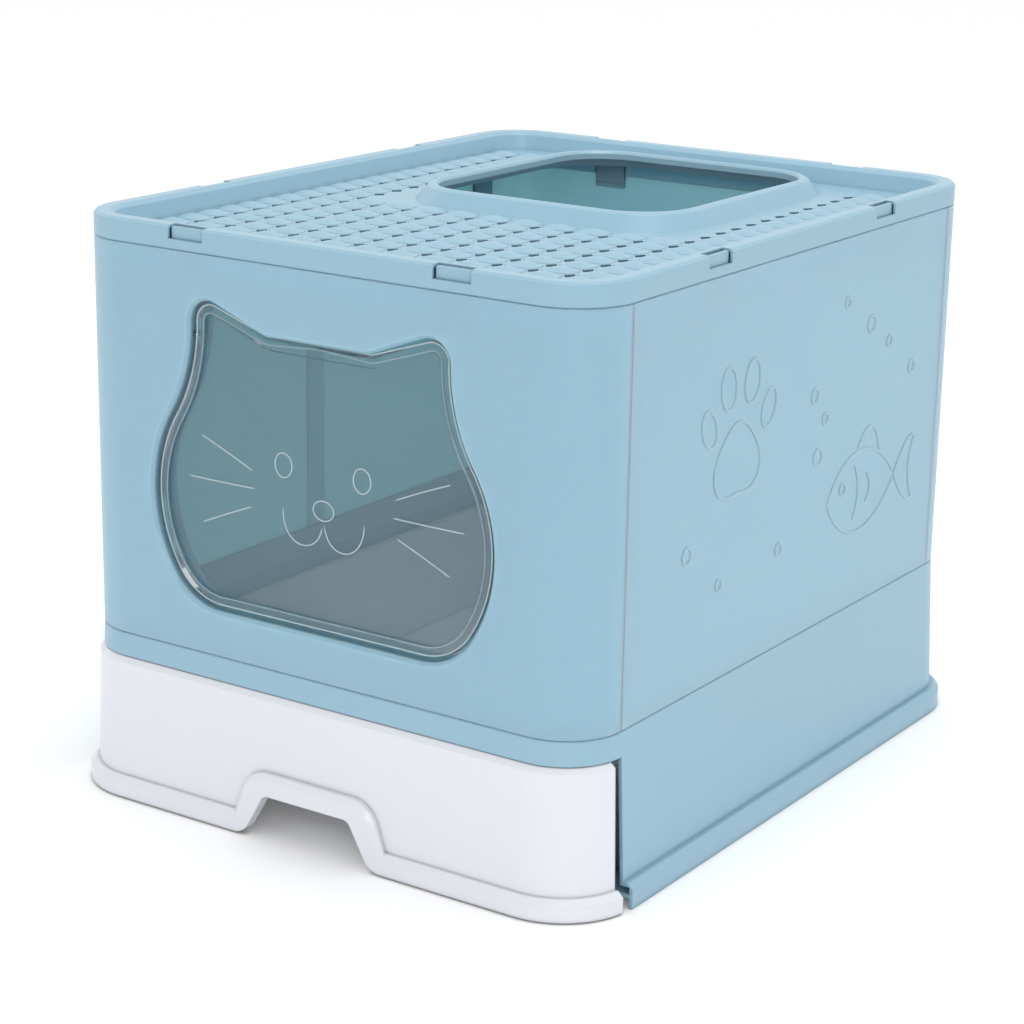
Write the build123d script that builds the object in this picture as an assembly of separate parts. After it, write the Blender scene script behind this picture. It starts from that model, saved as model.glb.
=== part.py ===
from build123d import *
import os
from math import atan2, cos, degrees, radians, sin

# Top-entry litter box. Millimetres, +Z up, front towards -Y, origin on the floor under the middle.

# Body over the wall panels
body_width = 390.0
body_depth = 489.0
corner_radius = 40.0
wall = 2.5
seam_chamfer = 0.8
panel_gap = 0.2
fit_gap = 0.3

# Base frame
base_height = 110.0
base_flare = 5.3
skirt_out = 11.25
skirt_height = 16.0
skirt_chamfer = 3.5
header_height = 15.5
rail_height = 12.0
rail_thickness = 2.5
lip_height = 8.0
ledge_width = 24.0
ledge_thickness = 2.5
ledge_height = 9.0

# Drawer
drawer_lift = 1.0
drawer_head_gap = 0.5
drawer_side_gap = 9.0
drawer_flare_low = 5.8
drawer_flare_top = 3.2
drawer_skirt_height = 13.5
drawer_shoulder = 3.2
pan_width = 372.0
pan_front_setback = 6.0
pan_rear_gap = 7.0
pan_corner = 30.0
pan_taper = 8.0
pan_height = 77.0
pan_rim_out = 4.0
pan_rim_thickness = 2.5
notch_top_width = 66.0
notch_bottom_width = 99.0
notch_height = 29.5
notch_top_round = 6.0
notch_foot_round = 14.0
notch_band = 14.0
notch_band_chamfer = 3.0

# Wall panels
panel_height = 254.5
lip_above_seam = 6.0
lip_below_seam = 12.0
lap_width = 10.0
rib_width = 18.0
rib_height = 1.5

# Snap tongues, two along the top of each panel
tongue_width = 24.5
tongue_thickness = 2.0
tongue_root_drop = 18.5
tongue_top_drop = 0.8
tongue_head_rise = 2.5
tongue_head_chamfer = 0.8
tongue_side_gap = 1.0
tongue_pad_height = 3.0
front_tongue_spacing = 197.0
side_tongue_spacing = 216.0

# Lid
lid_height = 14.8
lid_wall = 1.8
lid_top = 2.0
lid_edge_chamfer = 1.8
window_sill = 6.5
window_depth = 7.2
land_width = 12.5
land_chamfer = 2.5
tray_slope_run = 3.5
tray_depth = 13.3
tray_thickness = 1.8

# Entry collar in the lid
entry_width = 190.0
entry_depth = 216.0
entry_corner = 38.0
entry_centre_y = 95.0
collar_lip = 6.0
collar_spread = 11.0
collar_height = 11.0
collar_chamfer = 1.8
collar_wall = 2.5
collar_lip_depth = 6.0

# Leak holes in the lid, on a rectangular grid
hole_pitch_x = 25.6
hole_pitch_y = 19.65
hole_width = 8.0
hole_depth = 10.5
hole_flare_deg = 40.0
hole_margin_x = 16.0
hole_margin_y = 28.0

# Cat-head door opening, half outline as a chain of tangent arcs from the chin to the top of the head.
# The chain gives the proportions, and the finished outline is scaled to the front panel's flat middle.
door_sill = 29.5
door_headroom = 28.9
door_side_margin = 26.0
chin_half_width = 76.8
chin_radius = 44.0
chin_turn_deg = 57.0
cheek_radius = 95.0
cheek_turn_deg = 65.5
neck_radius = 110.0
ear_radius = 14.2
ear_slope_deg = 21.0
brow_radius = 12.0
ear_rise = 16.0
opening_chamfer = 2.4
tunnel_depth = 26.0
tunnel_draft_deg = 5.0

# Door flap
door_gap = 1.8
door_recess = 5.0
door_bead_width = 7.0
door_bead_thickness = 5.0
door_plate_thickness = 2.2
door_bead_chamfer = 1.0
door_axis_drop = 22.6
pin_radius = 2.0
pin_clearance = 0.08
pin_length = 4.5

# Places that follow from the sizes above
half_width = body_width / 2
half_depth = body_depth / 2
lid_seam = base_height + panel_height
top = lid_seam + lid_height
tangent_x = half_width - corner_radius
tangent_y = half_depth - corner_radius
header_low = base_height - header_height
drawer_top = header_low - drawer_head_gap
drawer_back = -(tangent_y + drawer_side_gap)
pan_low = ledge_height + fit_gap
pan_top = pan_low + pan_height
inner_lip = wall + fit_gap
panel_lip = lid_wall + fit_gap
plate_top = top - tray_depth
plate_low = plate_top - tray_thickness
collar_top = plate_top + collar_height
tongue_root = lid_seam - tongue_root_drop
tongue_top = top - tongue_top_drop
window_low = lid_seam + window_sill
window_width = tongue_width + 2 * tongue_side_gap
door_axis_y = -half_depth + door_recess + door_bead_thickness / 2
reach = 2 * (body_width + body_depth)


def block(x0, x1, y0, y1, z0, z1):
    """A box between two corners."""
    middle = Pos((x0 + x1) / 2, (y0 + y1) / 2, (z0 + z1) / 2)
    return middle * Box(abs(x1 - x0), abs(y1 - y0), abs(z1 - z0))


def outline(offset):
    """The body's plan outline, grown outwards by offset."""
    return RectangleRounded(body_width + 2 * offset, body_depth + 2 * offset, corner_radius + offset)


def prism(offset, low, high):
    """An upright block on the body's outline."""
    return extrude(Pos(0, 0, low) * outline(offset), high - low)


def ring(outer, inner, low, high):
    """An upright wall between two offsets of the body's outline."""
    return prism(outer, low, high) - prism(inner, low, high)


def frustum(low_offset, low, high_offset, high):
    """A block whose outline changes evenly from the bottom to the top."""
    slope = degrees(atan2(low_offset - high_offset, high - low))
    return extrude(Pos(0, 0, low) * outline(low_offset), high - low, taper=slope)


def edges_at(shape, height):
    """The edges that lie flat at a height."""
    return shape.edges().filter_by_position(Axis.Z, height - 0.01, height + 0.01)


def eased_top(shape, height, size):
    """The shape with the edges of its top face cut back."""
    return chamfer(edges_at(shape, height), size)


def front_of(y):
    """Everything in front of a plane across the body."""
    return block(-reach, reach, -reach, y, -reach, reach)


def behind(y):
    """Everything behind a plane across the body."""
    return block(-reach, reach, y, reach, -reach, reach)


def cat_head_pattern():
    """The door opening's outline: chin, cheeks, neck and ears as tangent arcs, mirrored about the middle."""
    chin_line = Line((0, 0), (chin_half_width, 0))
    chin = JernArc(chin_line @ 1, chin_line % 1, chin_radius, chin_turn_deg)
    cheek = JernArc(chin @ 1, chin % 1, cheek_radius, cheek_turn_deg)
    neck = JernArc(cheek @ 1, cheek % 1, neck_radius, 90 - chin_turn_deg - cheek_turn_deg)
    ear = JernArc(neck @ 1, neck % 1, ear_radius, 90 + ear_slope_deg)
    head_top = (ear @ 0).Y + ear_radius - ear_rise
    brow_drop = brow_radius * (1 - cos(radians(ear_slope_deg)))
    slope_length = ((ear @ 1).Y - head_top - brow_drop) / sin(radians(ear_slope_deg))
    slope = Line(ear @ 1, ear @ 1 + (ear % 1) * slope_length)
    brow = JernArc(slope @ 1, slope % 1, brow_radius, -ear_slope_deg)
    crown = Line(brow @ 1, (0, head_top))
    half = chin_line + chin + cheek + neck + ear + slope + brow + crown
    return make_face(half + mirror(half, Plane.YZ))


def cat_head():
    """The opening as large as the front panel's flat middle takes it, standing on its sill."""
    pattern = cat_head_pattern()
    size = pattern.bounding_box().size
    room_x = body_width - 2 * (corner_radius + door_side_margin)
    room_z = panel_height - door_sill - door_headroom
    return Pos(0, base_height + door_sill) * scale(pattern, min(room_x / size.X, room_z / size.Y))


def front_plane(depth):
    """A plane across the front, this far behind the front face, that extrudes towards the back."""
    return Plane((0, depth - half_depth, 0), x_dir=(-1, 0, 0), z_dir=(0, 1, 0))


def door_prism(grow, depth, thickness, draft=0.0):
    """The cat-head outline, grown by an offset, as a block running back from a depth."""
    face = offset(cat_head(), grow) if grow else cat_head()
    return extrude(front_plane(depth) * face, thickness, taper=-draft)


def pin_along_x(radius, x0, x1):
    """A round bar on the door's hinge axis, on both sides of the middle."""
    bar = extrude(Plane.YZ.offset(x0) * Pos(door_axis_y, door_axis_height()) * Circle(radius), x1 - x0)
    return bar + mirror(bar, Plane.YZ)


def door_axis_height():
    """The hinge axis lies across the neck, just below the ears."""
    return cat_head().bounding_box().max.Y - door_axis_drop


def neck_half_width():
    """Half the opening's width at the height of the hinge axis."""
    across = Line((0, door_axis_height()), (reach, door_axis_height())) & cat_head()
    return across.bounding_box().max.X


def snap_places():
    """Each snap tongue's name, panel and place: the outer face is local y = 0, and inwards is +y."""
    sides = (("front", 0, half_depth, front_tongue_spacing, ("left", "right")),
             ("right", 90, half_width, side_tongue_spacing, ("front", "rear")),
             ("rear", 180, half_depth, front_tongue_spacing, ("right", "left")),
             ("left", 270, half_width, side_tongue_spacing, ("rear", "front")))
    places = []
    for side, turn, half, spacing, ends in sides:
        for end, along in zip(ends, (-spacing / 2, spacing / 2)):
            places.append((side, end, Rot(0, 0, turn) * Pos(along, -half, 0)))
    return places


def snap_tongue():
    """A springy strip that stands on its pad, with a thicker head that fills the lid's window."""
    half = tongue_width / 2
    inner_face = inner_lip + tongue_thickness
    strip = block(-half, half, inner_lip, inner_face, tongue_root, tongue_top)
    head = block(-half, half, panel_lip, inner_face, lid_seam + tongue_head_rise, tongue_top)
    tongue = strip + head
    return chamfer(edges_at(tongue, tongue_top), tongue_head_chamfer)


def tongue_pad():
    """The pad on a panel's inner face that a tongue stands on."""
    half = tongue_width / 2
    return block(-half, half, wall / 2, inner_lip + tongue_thickness, tongue_root - tongue_pad_height,
                 tongue_root)


def tongue_slot():
    """The room for a tongue in a panel's top lip."""
    half = window_width / 2
    low_part = block(-half, half, wall, reach / 20, tongue_root, lid_seam)
    high_part = block(-half, half, -wall, reach / 20, lid_seam, top)
    return low_part + high_part


def lid_window():
    """The notch in the lid's rim that shows a tongue's head."""
    half = window_width / 2
    return block(-half, half, -lid_wall, window_depth, window_low, top + lid_wall)


def make_base_frame():
    """Flared walls on a stepped skirt, open below and in front, with a header over the drawer."""
    skirt = eased_top(prism(skirt_out, 0, skirt_height), skirt_height, skirt_chamfer)
    walls = frustum(base_flare, 0, 0, base_height)
    outer = skirt + chamfer(edges_at(walls, base_height), seam_chamfer)
    skirt_room = prism(skirt_out - wall, 0, skirt_height - wall)
    inner = skirt_room + frustum(base_flare - wall, 0, -wall, base_height)
    frame = outer - inner
    rail_inner = inner_lip + rail_thickness
    frame += ring(-wall / 2, -rail_inner, base_height - rail_height, base_height)
    frame += ring(-inner_lip, -rail_inner, base_height - rail_height / 2, base_height + lip_height)
    frame -= block(-reach, reach, -reach, -tangent_y, -reach, header_low)
    ledge_low = ledge_height - ledge_thickness
    ledge_inner = half_width - ledge_width
    for side in (-1, 1):
        ledge = block(side * ledge_inner, side * reach, -tangent_y, half_depth, ledge_low, ledge_height)
        frame += ledge & prism(skirt_out - wall / 2, ledge_low, ledge_height)
    return frame


def notch_face(grow):
    """The finger notch's outline in the drawer front, grown by an offset, closed below the drawer."""
    foot = notch_bottom_width / 2 + grow
    head = notch_top_width / 2 + grow
    crest = drawer_lift + notch_height + grow
    far = foot + 3 * notch_foot_round
    low = drawer_lift - skirt_height
    points = [(-far, drawer_lift), (-foot, drawer_lift), (-head, crest), (head, crest), (foot, drawer_lift),
              (far, drawer_lift)]
    radii = [notch_foot_round, notch_top_round + grow, notch_top_round + grow, notch_foot_round]
    edge = FilletPolyline(*points, radius=radii)
    return make_face(edge + Polyline(points[-1], (far, low), (-far, low), points[0]))


def make_drawer_front():
    """The drawer's flared front with its rounded corners, skirt and finger notch."""
    skirt_top = drawer_lift + drawer_skirt_height
    skirt = eased_top(prism(skirt_out, drawer_lift, skirt_top), skirt_top, skirt_chamfer)
    face = frustum(drawer_flare_low, drawer_lift, drawer_flare_top, drawer_top)
    outer = skirt + eased_top(face, drawer_top, drawer_shoulder)
    skirt_room = prism(skirt_out - wall, drawer_lift, skirt_top - wall)
    inner = skirt_room + frustum(drawer_flare_low - wall, drawer_lift, drawer_flare_top - wall, drawer_top - wall)
    front = (outer - inner) & front_of(drawer_back)
    band_depth = skirt_out - drawer_flare_low + wall
    band = extrude(front_plane(-skirt_out) * notch_face(notch_band), band_depth)
    band_face = band.faces().sort_by(Axis.Y)[0]
    band = chamfer(band_face.edges(), notch_band_chamfer)
    front += band & block(-reach, reach, -reach, reach, drawer_lift, drawer_top)
    return front - extrude(front_plane(-2 * skirt_out) * notch_face(0), 3 * skirt_out)


def make_litter_drawer():
    """A deep tapered pan with a rolled rim, hung behind the drawer front."""
    pan_front = drawer_back - pan_front_setback
    pan_rear = half_depth - pan_rear_gap - wall
    pan_depth = pan_rear - pan_front
    centre_y = (pan_rear + pan_front) / 2

    def pan_outline(grow, height):
        size = RectangleRounded(pan_width + 2 * grow, pan_depth + 2 * grow, pan_corner + grow)
        return Pos(0, centre_y, height) * size

    draft = degrees(atan2(pan_taper, pan_height))
    pan = extrude(pan_outline(-pan_taper, pan_low), pan_height, taper=-draft)
    rim_low = pan_top - pan_rim_thickness
    pan += extrude(pan_outline(pan_rim_out, rim_low), pan_rim_thickness)
    riser = block(-tangent_x, tangent_x, pan_front, pan_front + wall, rim_low, drawer_top - wall / 2)
    bowl = extrude(pan_outline(-pan_taper - wall, pan_low + wall), pan_height, taper=-draft)
    return make_drawer_front() + (pan - bowl) + riser


def make_panel_ring():
    """All four walls in one ring, with the stepped lip that stands inside the lid's rim."""
    outer = prism(0, base_height, lid_seam)
    outer = chamfer(edges_at(outer, base_height) + edges_at(outer, lid_seam), seam_chamfer)
    walls = outer - prism(-wall, base_height, lid_seam)
    walls += ring(-panel_lip, -panel_lip - wall, lid_seam - lip_below_seam, lid_seam + lip_above_seam)
    return walls


def fit_tongues(panel, side):
    """A panel with the slots and pads for its own two tongues."""
    for name, end, place in snap_places():
        if name == side:
            panel = panel - place * tongue_slot() + place * tongue_pad()
    return panel


def make_rear_panel():
    """The rear wall with both its rounded corners, and laps that stand behind the side panels."""
    seam_y = tangent_y + panel_gap / 2
    panel = make_panel_ring() & behind(seam_y)
    lap_low = base_height + lip_height + fit_gap
    lap_high = lid_seam - lip_below_seam - fit_gap
    lap = ring(-inner_lip, -inner_lip - wall, lap_low, lap_high)
    root = ring(-wall / 2, -inner_lip - wall, lap_low, lap_high)
    panel += (lap & behind(tangent_y - lap_width)) & front_of(tangent_y + lap_width)
    panel += (root & behind(seam_y)) & front_of(tangent_y + lap_width)
    return fit_tongues(panel, "rear")


def make_front_panel():
    """The front wall, the rear wall's mirror image, with the door opening and its inward tunnel."""
    panel = mirror(make_rear_panel(), Plane.XZ)
    panel += door_prism(wall, wall / 2, tunnel_depth - wall / 2, tunnel_draft_deg)
    panel -= door_prism(0, 0, tunnel_depth, tunnel_draft_deg)
    panel = chamfer(opening_edges(panel), opening_chamfer)
    pin_end = neck_half_width() + pin_length + wall
    return panel - pin_along_x(pin_radius + pin_clearance, neck_half_width() - wall, pin_end)


def opening_edges(panel):
    """The edges of the door opening on the panel's front face."""
    on_face = panel.edges().filter_by_position(Axis.Y, -half_depth - 0.01, -half_depth + 0.01)
    low = base_height + lip_height
    inside = on_face.filter_by_position(Axis.Z, low, lid_seam - lip_below_seam)
    return inside.filter_by_position(Axis.X, -tangent_x, tangent_x, inclusive=(False, False))


def make_side_panel(side):
    """A flat wall between the rounded corners, with a stiffening band down the middle of its inner face."""
    seam_y = tangent_y - panel_gap / 2
    sign = 1 if side == "right" else -1
    panel = make_panel_ring() & block(0, sign * reach, -seam_y, seam_y, -reach, reach)
    rib_low = base_height + lip_height + fit_gap
    inner_face = half_width - wall
    rib = block(sign * (inner_face - rib_height), sign * (inner_face + wall / 2), -rib_width / 2,
                rib_width / 2, rib_low, lid_seam - lip_below_seam)
    return fit_tongues(panel + rib, side)


def make_door_flap():
    """The clear flap: a thin plate with a raised bead round its front, and stub pins on the hinge axis."""
    bead = door_prism(-door_gap, door_recess, door_bead_thickness)
    bead = chamfer(bead.faces().sort_by(Axis.Y)[0].edges(), door_bead_chamfer)
    inset = door_gap + door_bead_width
    flap = bead - door_prism(-inset, door_recess, door_bead_thickness - door_plate_thickness)
    neck = neck_half_width()
    return flap + pin_along_x(pin_radius, neck - door_bead_width, neck + pin_length)


def collar_outline(grow, height):
    """The entry's outline in the lid, grown by an offset."""
    size = RectangleRounded(entry_width + 2 * grow, entry_depth + 2 * grow, entry_corner + grow)
    return Pos(0, entry_centre_y, height) * size


def collar_cone(inset):
    """The collar's sloping outer form, or with an inset the hollow on its underside."""
    rise = collar_top - plate_low
    slope = degrees(atan2(collar_spread, rise))
    foot = collar_outline(collar_lip + collar_spread - inset, plate_low)
    return extrude(foot, rise - inset, taper=slope)


def hole_places():
    """The leak holes' centres: a centred grid over the tray floor, left out under the entry collar."""
    floor_x = half_width - land_width - tray_slope_run - hole_margin_x
    floor_y = half_depth - land_width - tray_slope_run - hole_margin_y
    columns = 2 * int(floor_x / hole_pitch_x) + 1
    rows = 2 * int(floor_y / hole_pitch_y + 0.5)
    clear_x = entry_width / 2 + collar_lip + collar_spread + hole_width / 2
    clear_y = entry_depth / 2 + collar_lip + collar_spread + hole_depth / 2
    places = []
    for column in range(columns):
        x = (column - (columns - 1) / 2) * hole_pitch_x
        for row in range(rows):
            y = (row - (rows - 1) / 2) * hole_pitch_y
            if abs(x) > clear_x or abs(y - entry_centre_y) > clear_y:
                places.append(Location((x, y)))
    return places


def leak_holes():
    """Every diamond-shaped leak hole as a plug that widens downwards, so that no litter wedges in it."""
    diamond = Polygon((hole_width / 2, 0), (0, hole_depth / 2), (-hole_width / 2, 0), (0, -hole_depth / 2),
                      align=None)
    facing_down = Plane((0, 0, plate_top), z_dir=(0, 0, -1))
    plug = extrude(facing_down * diamond, 2 * tray_thickness, taper=-hole_flare_deg)
    return [place * plug for place in hole_places()]


def tray_edges(lid):
    """The edges where the rim's flat land turns down into the tray."""
    limit_x = half_width - land_width + 0.01
    inner = edges_at(lid, top).filter_by_position(Axis.X, -limit_x, limit_x)
    return inner.filter_by(lambda edge: edge.bounding_box().max.X < limit_x
                           and abs(edge.center().Y) < half_depth - land_width + 0.01
                           and edge.bounding_box().min.X > -limit_x)


def make_lid():
    """A hollow rim round a sunken perforated tray, with the entry collar towards the back."""
    outer = chamfer(edges_at(prism(0, lid_seam, top), lid_seam), seam_chamfer)
    outer = eased_top(outer, top, lid_edge_chamfer)
    tray_top = -land_width
    tray_floor = -land_width - tray_slope_run
    shell = outer - prism(-lid_wall, lid_seam, top - lid_top)
    tray_room = frustum(tray_floor, plate_top, tray_top, top)
    tray = frustum(tray_floor + tray_thickness, plate_low, tray_top + tray_thickness, top)
    lid = shell + tray - tray_room
    lid = chamfer(tray_edges(lid), land_chamfer)
    entry = extrude(collar_outline(0, plate_low - collar_wall), tray_depth + 2 * collar_wall)
    collar = eased_top(collar_cone(0) - entry, collar_top, collar_chamfer)
    lip_low = collar_top - collar_lip_depth
    lip = extrude(collar_outline(collar_wall, lip_low), collar_lip_depth)
    lid = lid + collar - (collar_cone(collar_wall) - lip) - entry
    for name, end, place in snap_places():
        lid -= place * lid_window()
    return lid - leak_holes()


os.makedirs("parts", exist_ok=True)
parts = {
    "base_frame": make_base_frame(),
    "litter_drawer": make_litter_drawer(),
    "front_panel": make_front_panel(),
    "rear_panel": make_rear_panel(),
    "left_panel": make_side_panel("left"),
    "right_panel": make_side_panel("right"),
    "lid": make_lid(),
    "door_flap": make_door_flap(),
}
for side, end, place in snap_places():
    parts[f"snap_tongue_{side}_{end}"] = place * snap_tongue()
for node, shape in parts.items():
    export_step(shape, f"parts/{node}.step")
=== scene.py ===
"""Looks of a top-entry litter box: pale blue satin plastic, a white pan drawer and a clear
cat-head flap. Raised detail is laid out in millimetres, and everything else is in metres."""

import bpy
import numpy as np
from mathutils import Matrix, Vector


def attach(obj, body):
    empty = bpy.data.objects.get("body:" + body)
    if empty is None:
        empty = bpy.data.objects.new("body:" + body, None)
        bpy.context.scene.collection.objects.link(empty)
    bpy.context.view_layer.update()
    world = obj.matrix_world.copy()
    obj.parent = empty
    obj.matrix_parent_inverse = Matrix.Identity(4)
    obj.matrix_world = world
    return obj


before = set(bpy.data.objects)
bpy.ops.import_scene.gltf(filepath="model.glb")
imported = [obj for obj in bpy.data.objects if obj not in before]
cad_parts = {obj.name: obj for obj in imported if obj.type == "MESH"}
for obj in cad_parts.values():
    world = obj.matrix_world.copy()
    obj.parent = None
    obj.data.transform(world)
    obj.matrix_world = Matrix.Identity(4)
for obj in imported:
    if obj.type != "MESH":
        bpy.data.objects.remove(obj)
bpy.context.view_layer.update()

MM = 0.001
WHITE = (1.0, 1.0, 1.0, 1.0)
WHOLE = (0.0, 1.0)
BOTH_SIDES = (-1.0, 1.0)


# Materials

SHADER_RAYS = 6  # rays of the nodes that look for gaps to paint shade in, and for edges
GAP_REACH, PAINTED_GAP_SHADE = 0.006, 0.35  # width of gaps painted darker as shade, and the colour left in them
GAP_SHUT, GAP_OPEN = 0.15, 0.75  # openness at which the painted shade is full, and at which it ends
GRAIN_STRENGTH, GRAIN_GLOSS = 0.25, 0.06  # the grain's bump, and how far it moves the roughness
EDGE_FACING = (0.9, 0.98)  # how far normals face front at the flap's edge, and on its flat


def new_material(name):
    """A node material with its Principled shader and its texture coordinates."""
    material = bpy.data.materials.new(name)
    material.use_nodes = True
    nodes = material.node_tree.nodes
    place = nodes.new("ShaderNodeTexCoord")
    return material, nodes, material.node_tree.links, nodes["Principled BSDF"], place


def noise(nodes, links, place, scale, detail):
    """A noise texture fixed to the object's own coordinates."""
    texture = nodes.new("ShaderNodeTexNoise")
    texture.inputs["Scale"].default_value = scale
    texture.inputs["Detail"].default_value = detail
    links.new(place.outputs["Object"], texture.inputs["Vector"])
    return texture.outputs["Fac"]


def colour_drift(nodes, links, share, colours, socket):
    """Mixes two near colours by a share from 0 to 1, into a colour socket."""
    tint = nodes.new("ShaderNodeMix")
    tint.data_type = "RGBA"
    tint.inputs["A"].default_value = (*colours[0], 1.0)
    tint.inputs["B"].default_value = (*colours[1], 1.0)
    links.new(share, tint.inputs["Factor"])
    links.new(tint.outputs["Result"], socket)


def value_span(nodes, links, value, given, wanted, socket):
    """Maps a value from a given range on to the wanted one, in a straight line, for a socket."""
    span = nodes.new("ShaderNodeMapRange")
    span.inputs["From Min"].default_value, span.inputs["From Max"].default_value = given
    span.inputs["To Min"].default_value, span.inputs["To Max"].default_value = wanted
    links.new(value, span.inputs["Value"])
    links.new(span.outputs["Result"], socket)


def moulded_plastic(name, colours, roughness, grain_scale, grain_depth, edge_radius=0.0,
                    light_depth=None):
    """Moulded plastic: slow drifts of colour, painted shade that darkens narrow gaps, a fine satin
    grain, and edges that catch the light as if rounded. With a depth of light, for red, green and
    blue, the thin walls let some light through."""
    material, nodes, links, shader, place = new_material(name)
    drift = noise(nodes, links, place, scale=6.0, detail=3.0)
    # Painted shade: where ambient occlusion finds narrow gaps, creases and hole walls, the base
    # colour is darkened in place of the shade that falls there
    gaps = nodes.new("ShaderNodeAmbientOcclusion")
    gaps.samples = SHADER_RAYS
    gaps.inputs["Distance"].default_value = GAP_REACH
    shade_painted_colour = nodes.new("ShaderNodeVectorMath")
    shade_painted_colour.operation = "SCALE"
    colour_drift(nodes, links, drift, colours, shade_painted_colour.inputs["Vector"])
    value_span(nodes, links, gaps.outputs["AO"], (GAP_SHUT, GAP_OPEN), (PAINTED_GAP_SHADE, 1.0),
               shade_painted_colour.inputs["Scale"])
    links.new(shade_painted_colour.outputs["Vector"], shader.inputs["Base Color"])
    grain = noise(nodes, links, place, grain_scale, detail=2.0)
    value_span(nodes, links, grain, WHOLE, (roughness - GRAIN_GLOSS, roughness + GRAIN_GLOSS),
               shader.inputs["Roughness"])
    bump = nodes.new("ShaderNodeBump")
    bump.inputs["Strength"].default_value = GRAIN_STRENGTH
    bump.inputs["Distance"].default_value = grain_depth
    links.new(grain, bump.inputs["Height"])
    if edge_radius:
        eased = nodes.new("ShaderNodeBevel")
        eased.samples = SHADER_RAYS
        eased.inputs["Radius"].default_value = edge_radius
        links.new(eased.outputs["Normal"], bump.inputs["Normal"])
    links.new(bump.outputs["Normal"], shader.inputs["Normal"])
    if light_depth:
        shader.inputs["Subsurface Weight"].default_value = 1.0
        shader.inputs["Subsurface Scale"].default_value = 1.0
        shader.inputs["Subsurface Radius"].default_value = light_depth
    return material


def clear_plastic(name, colours, edge_colours):
    """Clear polished plastic with a faint tint. Its flat faces let the view straight through, and
    its rounded edges, known by a normal that turns away from the front, bend the light like
    glass."""
    material, nodes, links, flat, place = new_material(name)
    drift = noise(nodes, links, place, scale=9.0, detail=2.0)
    colour_drift(nodes, links, drift, colours, flat.inputs["Base Color"])
    value_span(nodes, links, drift, WHOLE, (0.03, 0.07), flat.inputs["Roughness"])
    flat.inputs["Alpha"].default_value = 0.32
    flat.inputs["IOR"].default_value = 1.9
    edge = nodes.new("ShaderNodeBsdfPrincipled")
    colour_drift(nodes, links, drift, edge_colours, edge.inputs["Base Color"])
    edge.inputs["Roughness"].default_value = 0.04
    edge.inputs["IOR"].default_value = 1.46
    edge.inputs["Transmission Weight"].default_value = 1.0
    normal = nodes.new("ShaderNodeSeparateXYZ")
    links.new(place.outputs["Normal"], normal.inputs["Vector"])
    facing = nodes.new("ShaderNodeMath")
    facing.operation = "ABSOLUTE"
    links.new(normal.outputs["Y"], facing.inputs[0])
    both = nodes.new("ShaderNodeMixShader")
    value_span(nodes, links, facing.outputs["Value"], EDGE_FACING, WHOLE, both.inputs["Fac"])
    links.new(edge.outputs["BSDF"], both.inputs[1])
    links.new(flat.outputs["BSDF"], both.inputs[2])
    links.new(both.outputs["Shader"], nodes["Material Output"].inputs["Surface"])
    return material


def pale_line_and_highlight(name, colours, alpha):
    """The pale, half-frosted plastic of the flap's raised face lines, and of its rim lines, whose
    pale colour is a painted highlight.
    """
    material, nodes, links, shader, place = new_material(name)
    drift = noise(nodes, links, place, scale=220.0, detail=2.0)
    colour_drift(nodes, links, drift, colours, shader.inputs["Base Color"])
    value_span(nodes, links, drift, WHOLE, (0.12, 0.28), shader.inputs["Roughness"])
    shader.inputs["Alpha"].default_value = alpha
    return material


def shades(colour, factor):
    """A colour, and the same colour times a factor."""
    return colour, [factor * value for value in colour]


# Each finish drifts between two near colours
SHELL_BLUE = (0.278, 0.462, 0.575), (0.294, 0.478, 0.590)
WALL_BLUE = (0.296, 0.490, 0.612), (0.312, 0.506, 0.628)
PAN_WHITE = (0.73, 0.75, 0.80), (0.75, 0.77, 0.815)
# The pale colour of the flap's face lines, also the painted highlight of its rim lines
PALE_LINE_AND_HIGHLIGHT = (0.66, 0.76, 0.79), (0.76, 0.84, 0.87)
PAPER_WHITE = (0.97, 0.97, 0.97), (0.99, 0.99, 0.99)
FLAP_TINT = shades((0.11, 0.215, 0.265), 1.08)
FLAP_EDGE = shades((0.78, 0.94, 0.95), 0.96)
SATIN, MOTIF_SATIN, SATIN_GRAIN = 0.36, 0.32, 900.0
FINE_GRAIN, WALL_GRAIN, PAN_GRAIN = 0.0001, 0.0002, 0.00004
SHELL_EDGE, PAN_EDGE = 0.0012, 0.0015
LIGHT_DEPTH = (0.0085, 0.0098, 0.0084)

shell = moulded_plastic("shell_plastic", SHELL_BLUE, SATIN, SATIN_GRAIN, FINE_GRAIN, SHELL_EDGE)
pad = moulded_plastic("pad_plastic", SHELL_BLUE, SATIN, SATIN_GRAIN, FINE_GRAIN)
wall = moulded_plastic("wall_plastic", WALL_BLUE, SATIN, SATIN_GRAIN, WALL_GRAIN, SHELL_EDGE,
                       LIGHT_DEPTH)
motif = moulded_plastic("motif_plastic", WALL_BLUE, MOTIF_SATIN, SATIN_GRAIN, FINE_GRAIN,
                        light_depth=LIGHT_DEPTH)
pan = moulded_plastic("pan_plastic", PAN_WHITE, roughness=0.22, grain_scale=700.0,
                      grain_depth=PAN_GRAIN, edge_radius=PAN_EDGE)
clear = clear_plastic("clear_plastic", FLAP_TINT, FLAP_EDGE)
face_white = pale_line_and_highlight("face_line", PALE_LINE_AND_HIGHLIGHT, alpha=0.48)
# Painted highlights: the rim lines' pale colour stands in for the light caught by the flap's
# rounded rim edges
rim_highlight_plastic = pale_line_and_highlight("rim_highlight_line", PALE_LINE_AND_HIGHLIGHT, alpha=0.5)
faint_highlight_plastic = pale_line_and_highlight("faint_highlight_line", PALE_LINE_AND_HIGHLIGHT, alpha=0.22)

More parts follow.
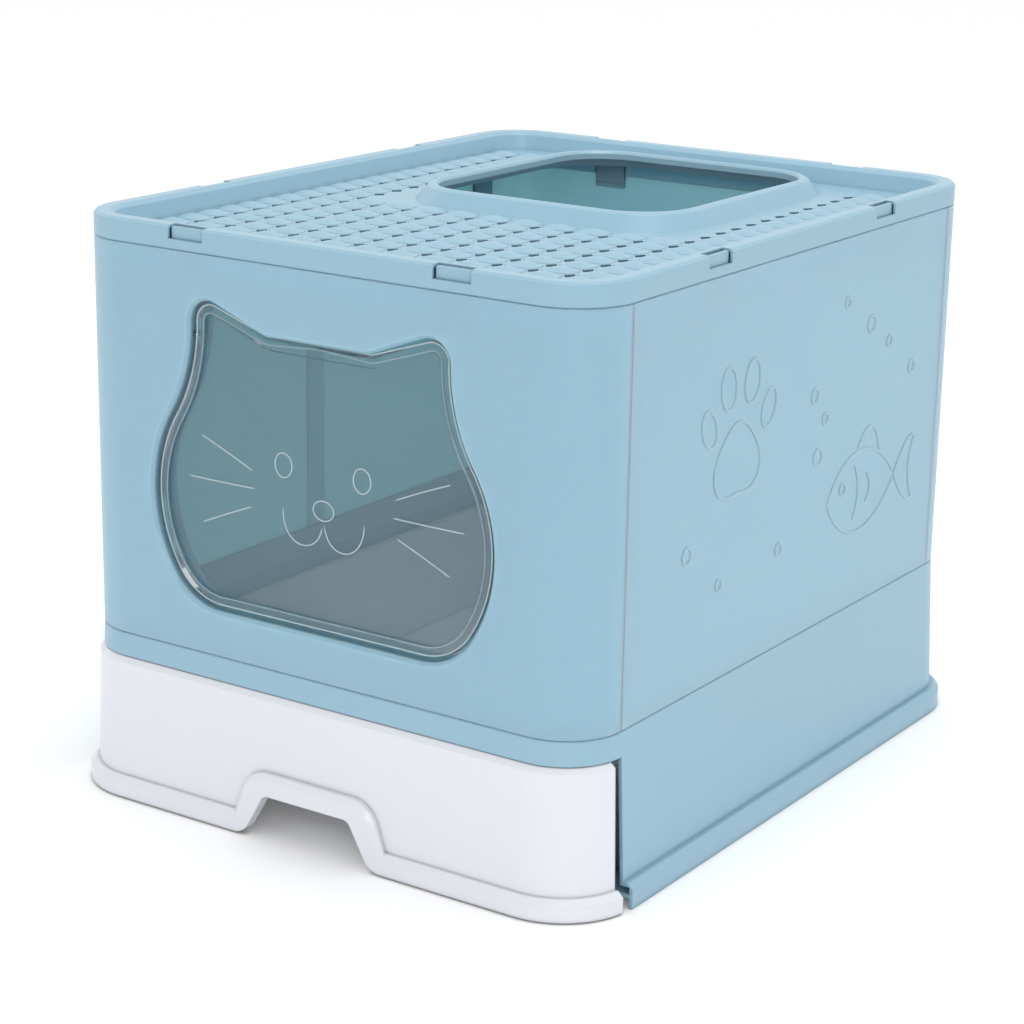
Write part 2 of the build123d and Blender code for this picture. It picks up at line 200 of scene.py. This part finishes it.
# Every CAD node has one finish all over
WALL_NODES = ("front_panel", "rear_panel", "left_panel", "right_panel")
node_finish = {"litter_drawer": pan, "door_flap": clear, **dict.fromkeys(WALL_NODES, wall)}
for node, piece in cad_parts.items():
    piece.data.materials.clear()
    piece.data.materials.append(node_finish.get(node, shell))


# Raised detail

LINE_SIDES = 10  # sides of a raised line's ellipse
MOST_TAPER = 0.98  # how far an open line's end has run out where its cap closes it


def mesh_piece(name, points, faces, material, body, flat=0):
    """A mesh of computed points, in millimetres, and faces, riding on a body. It is smooth but for
    its last few faces."""
    mesh = bpy.data.meshes.new(name)
    mesh.from_pydata((points * MM).tolist(), [], faces)
    mesh.polygons.foreach_set("use_smooth", np.arange(len(faces)) < len(faces) - flat)
    mesh.materials.append(material)
    piece = bpy.data.objects.new(name, mesh)
    bpy.context.collection.objects.link(piece)
    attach(piece, body)
    return piece


def grid_faces(rows, columns, wrap_rows):
    """Quads over a grid of points whose columns always close on themselves, and its rows too if
    asked. A quad joins a point, the next in its row, and the two after these in the next row."""
    row = np.arange(rows if wrap_rows else rows - 1)[:, None]
    column = np.arange(columns)[None, :]
    after_row, after_column = (row + 1) % rows, (column + 1) % columns
    corners = (row * columns + column, row * columns + after_column,
               after_row * columns + after_column, after_row * columns + column)
    return np.stack(corners, axis=-1).reshape(-1, 4)


def once_round(steps):
    """Even angles from zero to a full turn, without the last."""
    return np.linspace(0.0, 2.0 * np.pi, steps, endpoint=False)


def raised_line(path, closed, width, height):
    """A raised line: an ellipse, half its size sunk in, swept along a path in the plane. Along an
    open path the ellipse shrinks over the last bit by the square root of one minus the square of
    the way gone, and a cap ends it."""
    around = once_round(LINE_SIDES)
    if closed:
        tangent = np.roll(path, -1, axis=0) - np.roll(path, 1, axis=0)
        swell = np.ones(len(path))
    else:
        tangent = np.gradient(path, axis=0)
        lengths = np.linalg.norm(np.diff(path, axis=0), axis=1)
        along = np.concatenate([[0.0], np.cumsum(lengths)])
        to_end = np.minimum(along, along[-1] - along)
        swell = np.sqrt(1.0 - np.clip(1.0 - to_end / width, 0.0, MOST_TAPER) ** 2)
    tangent = tangent / np.linalg.norm(tangent, axis=1, keepdims=True)
    normal = np.stack([-tangent[:, 1], tangent[:, 0]], axis=1)
    across = (swell[:, None] * np.cos(around) * width / 2)[..., None] * normal[:, None, :]
    flat = path[:, None, :] + across
    lift = swell[:, None] * np.sin(around) * height
    points = np.concatenate([flat, lift[..., None]], axis=-1).reshape(-1, 3)
    faces = [*grid_faces(len(path), LINE_SIDES, closed)]
    if not closed:
        first = np.arange(LINE_SIDES)
        faces += [first[::-1], len(points) - LINE_SIDES + first]
    return points, faces


def line_piece(name, lines, place, section, material, body):
    """One piece made of many raised lines of one section, its width and height. Place turns
    (across, up, lift) into points of the frame, and where it mirrors them, each face is turned
    round to point outwards."""
    points, faces, start = [], [], 0
    for path, closed in lines:
        line_points, line_faces = raised_line(path, closed, *section)
        points.append(line_points)
        faces += [face + start for face in line_faces]
        start += len(line_points)
    mirrors = np.linalg.det(place(np.eye(3)) - place(np.zeros((3, 3)))) < 0.0
    faces = [face[::-1].tolist() if mirrors else face.tolist() for face in faces]
    return mesh_piece(name, place(np.concatenate(points)), faces, material, body)


def oval(centre, across, up, turn=0.0, steps=48):
    """A closed ellipse: a cosine across and a sine up, turned about the centre."""
    t = once_round(steps)
    flat = np.stack([across * np.cos(t), up * np.sin(t)], axis=1)
    spin = np.array([[np.cos(turn), -np.sin(turn)], [np.sin(turn), np.cos(turn)]])
    return np.array(centre) + flat @ spin.T, True


def curve(*points, steps=24):
    """An open curve: the Bezier curve of its control points, by repeated mixing of neighbours."""
    t = np.linspace(0.0, 1.0, steps)[:, None]
    level = [np.array(point, float)[None, :] for point in points]
    while len(level) > 1:
        level = [(1.0 - t) * a + t * b for a, b in zip(level, level[1:])]
    return level[0], False


def wavy_round(centre, size, waves, steps=96):
    """A closed wavy round: its radius is one plus a sum of cosines of whole multiples of the
    angle."""
    t = once_round(steps)
    radius = 1.0 + sum(height * np.cos(count * (t - start)) for count, height, start in waves)
    flat = size * radius[:, None] * np.stack([np.cos(t), np.sin(t)], axis=1)
    return np.array(centre) + flat, True


def facing_front(depth):
    """Places lines on an upright plane at a depth, with their lift towards the front."""
    return lambda points: np.stack([points[:, 0], depth - points[:, 2], points[:, 1]], axis=1)


def facing_side(side):
    """Places lines on the right wall, or mirrored on the left, with their lift outwards."""
    return lambda points: np.stack(
        [side * (SIDE_FACE + points[:, 2]), points[:, 0], points[:, 1]], axis=1)


# The cat's face on the flap's plate
PLATE_FRONT, FACE_SECTION = -236.7, (1.0, 0.5)
EYES = [oval((side * 29.8, 240.6), 6.5, 7.7) for side in BOTH_SIDES]
NOSE = [oval((0.7, 217.0), 7.8, 6.2)]
MOUTH = [
    curve((-30.4, 214.0), (-31.0, 186.0), (-2.5, 188.0), (-0.4, 206.5)),
    curve((1.4, 208.5), (3.0, 187.0), (31.0, 187.0), (31.6, 214.0)),
]
WHISKERS = [curve(*(np.array(whisker) * (side, 1.0))) for whisker in (
    ((54, 233), (74, 242), (94.5, 249.5)),
    ((52.5, 222), (78, 221.5), (105, 221.8)),
    ((55, 210), (75, 202), (94.5, 193.3)),
) for side in BOTH_SIDES]
line_piece("flap_face", EYES + NOSE + MOUTH + WHISKERS, facing_front(PLATE_FRONT), FACE_SECTION,
           face_white, "door")

# Pale raised lines along the flap's thick rim: a painted highlight in place of the light caught by
# its rounded edges
RIM_FRONT, CHIN_HEIGHT, CHIN_GAP = -239.5, 139.5, 1.0
OUTER_INSET, OUTER_SECTION = 3.2, (1.0, 0.4)
INNER_INSET, INNER_SECTION = 8.2, (0.9, 0.4)
OUTLINE_STEPS = 520
OUTLINE_RUNS = (  # length and curvature of each run, from mid chin to mid crown
    (76.8, 0.0), (44.0 * 0.9948, 1 / 44.0), (95.0 * 1.1432, 1 / 95.0),
    (110.0 * 0.5672, -1 / 110.0), (14.2 * 1.9373, 1 / 14.2), (39.79, 0.0),
    (12.0 * 0.3665, -1 / 12.0), (36.19, 0.0))


def head_outline(inset):
    """The flap's outline moved inwards. The heading is the running sum of the curvature along the
    runs, and the points are the running sum of the heading's direction. Every second point is
    kept, and the left half mirrors the right."""
    lengths, bends = np.array(OUTLINE_RUNS).T
    ends = np.cumsum(lengths)
    step = ends[-1] / OUTLINE_STEPS
    along = (np.arange(OUTLINE_STEPS) + 0.5) * step
    bend = bends[np.searchsorted(ends, along)]
    heading = np.cumsum(bend * step) - 0.5 * bend * step
    ahead = np.stack([np.cos(heading), np.sin(heading)], axis=1)
    inwards = np.stack([-np.sin(heading), np.cos(heading)], axis=1)
    points = np.cumsum(ahead * step, axis=0) + np.array([0.0, CHIN_HEIGHT]) + inset * inwards
    half = points[points[:, 0] > CHIN_GAP][::2]
    return np.concatenate([half, half[::-1] * np.array([-1.0, 1.0])]), True


line_piece("flap_outer_rim_highlight", [head_outline(OUTER_INSET)], facing_front(RIM_FRONT), OUTER_SECTION,
           rim_highlight_plastic, "door")
line_piece("flap_inner_rim_highlight", [head_outline(INNER_INSET)], facing_front(RIM_FRONT), INNER_SECTION,
           faint_highlight_plastic, "door")

# Embossed motifs on the side walls: a paw print, a fish and bubbles
SIDE_FACE, MOTIF_SECTION = 195.0, (2.2, 1.0)
PAW = [
    wavy_round((-78, 246), 25.0, [(2, 0.10, 0.0), (3, 0.10, np.pi / 2)]),
    oval((-114, 273), 8.0, 12.5, 0.45), oval((-92, 294), 9.0, 13.5, 0.12),
    oval((-63, 294), 9.0, 13.5, -0.12), oval((-41, 273), 8.0, 12.5, -0.45),
]
FISH = [
    curve((44, 190), (70, 232), (118, 222), (142, 190)),
    curve((44, 190), (70, 148), (118, 158), (142, 190)),
    curve((142, 190), (152, 205), (164, 216), (172, 212)),
    curve((142, 190), (152, 175), (164, 164), (172, 168)),
    curve((172, 212), (162, 197), (162, 183), (172, 168)),
    oval((66, 196), 4.0, 4.0, steps=24),
    curve((82, 209), (91, 197), (91, 183), (82, 171)),
    curve((100, 200), (108, 194), (108, 186), (100, 180)),
    curve((84, 216), (96, 240), (114, 236), (118, 209)),
]
BUBBLES = [oval((along, up), radius, radius, steps=28) for along, up, radius in (
    (28, 226, 5.5), (36, 250, 3.5), (20, 268, 4.5), (96, 302, 5.5), (124, 286, 3.5),
    (-136, 200, 5.0), (-20, 176, 4.0), (-96, 172, 3.5), (160, 262, 4.5), (60, 322, 3.5))]
for name, side in (("right_motifs", 1.0), ("left_motifs", -1.0)):
    motifs = line_piece(name, PAW + FISH + BUBBLES, facing_side(side), MOTIF_SECTION,
                        motif, "cabinet")
    # The lines are one with a wall that light shines through, so they keep no light from it
    motifs.visible_shadow = motifs.visible_diffuse = False

# The soft swellings between the lid's leak holes
TRAY_TOP = 366.0
PADS_ACROSS, PADS_ALONG, PITCH_ACROSS, PITCH_ALONG = 14, 21, 25.6, 19.65
PAD_HALVES, PAD_RISE, PAD_SINK = (12.4, 9.4), 2.8, 0.1
PAD_SIDES, PAD_RINGS = 12, (1.0, 0.84, 0.62, 0.34)
ENTRY_CENTRE_Y, ENTRY_CLEAR_X, ENTRY_CLEAR_Y = 95.0, 121.0, 131.0


def centred(count, pitch):
    """Even steps of a pitch, with the middle at zero."""
    return (np.arange(count) - (count - 1) / 2) * pitch


def tray_pads():
    """Swellings on a grid. A swelling's outline is a squarish oval, each coordinate a sine or
    cosine to the power two thirds. Its height falls off as one minus the square of the way out, to
    the power one and a half. Rings of points carry it up to its crown, and a flat face closes it
    below. Returns the points, the faces with the flat ones last, and how many are flat."""
    x, y = np.meshgrid(centred(PADS_ACROSS, PITCH_ACROSS), centred(PADS_ALONG, PITCH_ALONG))
    keep = (np.abs(x) > ENTRY_CLEAR_X) | (np.abs(y - ENTRY_CENTRE_Y) > ENTRY_CLEAR_Y)
    centres = np.stack([x[keep], y[keep], np.full(keep.sum(), TRAY_TOP)], axis=1)
    turn = once_round(PAD_SIDES)
    wave = np.stack([np.cos(turn), np.sin(turn)], axis=1)
    edge = np.sign(wave) * np.abs(wave) ** (2.0 / 3.0) * np.array(PAD_HALVES)
    way_out = np.array(PAD_RINGS)
    height = PAD_RISE * (1.0 - way_out ** 2) ** 1.5 - PAD_SINK
    flat = way_out[:, None, None] * edge[None]
    rise = np.broadcast_to(height[:, None, None], (*flat.shape[:2], 1))
    rings = np.concatenate([flat, rise], axis=-1).reshape(-1, 3)
    swelling = np.concatenate([rings, [[0.0, 0.0, PAD_RISE - PAD_SINK]]])
    points = (centres[:, None, :] + swelling[None]).reshape(-1, 3)
    sides = grid_faces(len(way_out), PAD_SIDES, False)
    top_ring = len(rings) - PAD_SIDES + np.arange(PAD_SIDES)
    crown = np.stack([top_ring, np.roll(top_ring, -1), np.full(PAD_SIDES, len(rings))], axis=1)
    below = np.arange(PAD_SIDES)[::-1][None]
    first = (np.arange(len(centres)) * len(swelling))[:, None, None]
    faces = []
    for part in (sides, crown, below):
        faces += (first + part[None]).reshape(-1, part.shape[1]).tolist()
    return points, faces, len(centres)


pad_points, pad_faces, flat_count = tray_pads()
mesh_piece("tray_pads", pad_points, pad_faces, pad, "lid", flat=flat_count)


# Studio

WORLD_STRENGTH, WHITE_LIFT = 0.9, 0.1  # together they make the background white
FLOOR_HALF = 14.0
LIGHTS = (  # name, place, target, side of the square, power
    ("left", (-2.4, 0.2, 1.3), (0.0, 0.0, 0.3), 1.0, 2.0),
    ("top", (0.2, 0.1, 2.1), (0.0, 0.1, 0.2), 0.6, 9.0),
    ("key", (1.5, -2.1, 1.3), (0.0, 0.0, 0.2), 1.1, 11.0),
)


def area_light(name, place, target, side, power):
    """A large soft light aimed at a point."""
    light = bpy.data.lights.new(name, "AREA")
    light.shape = "SQUARE"
    light.size = side
    light.energy = power
    holder = bpy.data.objects.new(name, light)
    bpy.context.collection.objects.link(holder)
    holder.location = place
    holder.rotation_euler = (Vector(target) - Vector(place)).to_track_quat("-Z", "Y").to_euler()


def whiten(tree, base, socket):
    """Sets a socket to a base value, and adds the white lift to it where the surface is seen
    straight, in a gloss or through clear plastic."""
    nodes, links = tree.nodes, tree.links
    path = nodes.new("ShaderNodeLightPath")
    seen = path.outputs["Is Camera Ray"]
    for ray in ("Is Glossy Ray", "Is Transmission Ray"):
        either = nodes.new("ShaderNodeMath")
        either.operation = "MAXIMUM"
        links.new(seen, either.inputs[0])
        links.new(path.outputs[ray], either.inputs[1])
        seen = either.outputs["Value"]
    total = nodes.new("ShaderNodeMath")
    total.operation = "MULTIPLY_ADD"
    links.new(seen, total.inputs[0])
    total.inputs[1].default_value = WHITE_LIFT
    total.inputs[2].default_value = base
    links.new(total.outputs["Value"], socket)


for light_values in LIGHTS:
    area_light(*light_values)

world = bpy.context.scene.world or bpy.data.worlds.new("studio")
bpy.context.scene.world = world
world.use_nodes = True
sky = world.node_tree.nodes["Background"]
sky.inputs["Color"].default_value = WHITE
whiten(world.node_tree, WORLD_STRENGTH, sky.inputs["Strength"])

paper = moulded_plastic("floor_paper", PAPER_WHITE, roughness=0.8, grain_scale=80.0,
                        grain_depth=FINE_GRAIN)
paper_shader = paper.node_tree.nodes["Principled BSDF"]
paper_shader.inputs["Emission Color"].default_value = WHITE
whiten(paper.node_tree, 0.0, paper_shader.inputs["Emission Strength"])

floor_corners = np.array([(-1, -1, 0), (1, -1, 0), (1, 1, 0), (-1, 1, 0)]) * FLOOR_HALF
floor_mesh = bpy.data.meshes.new("floor")
floor_mesh.from_pydata(floor_corners.tolist(), [], [(0, 1, 2, 3)])
floor_mesh.materials.append(paper)
floor = bpy.data.objects.new("floor", floor_mesh)
bpy.context.collection.objects.link(floor)

# Camera, from the photo's fitted view
FOCAL_PIXELS, PICTURE, SENSOR = 2605.175, 1024, 36.0
CAMERA_PLACE = (0.93095, -1.42278, 0.66)
CAMERA_AXES = (  # right, up and back
    (0.8282, 0.5603, 0.0172), (-0.1716, 0.2241, 0.9594), (0.5337, -0.7974, 0.2817))
camera_data = bpy.data.cameras.new("camera")
camera_data.sensor_width = SENSOR
camera_data.lens = FOCAL_PIXELS * SENSOR / PICTURE
camera = bpy.data.objects.new("camera", camera_data)
bpy.context.collection.objects.link(camera)
camera_turn = Matrix(CAMERA_AXES).transposed().to_4x4()
camera.matrix_world = Matrix.Translation(CAMERA_PLACE) @ camera_turn
bpy.context.scene.camera = camera
bpy.context.scene.view_settings.view_transform = "Standard"
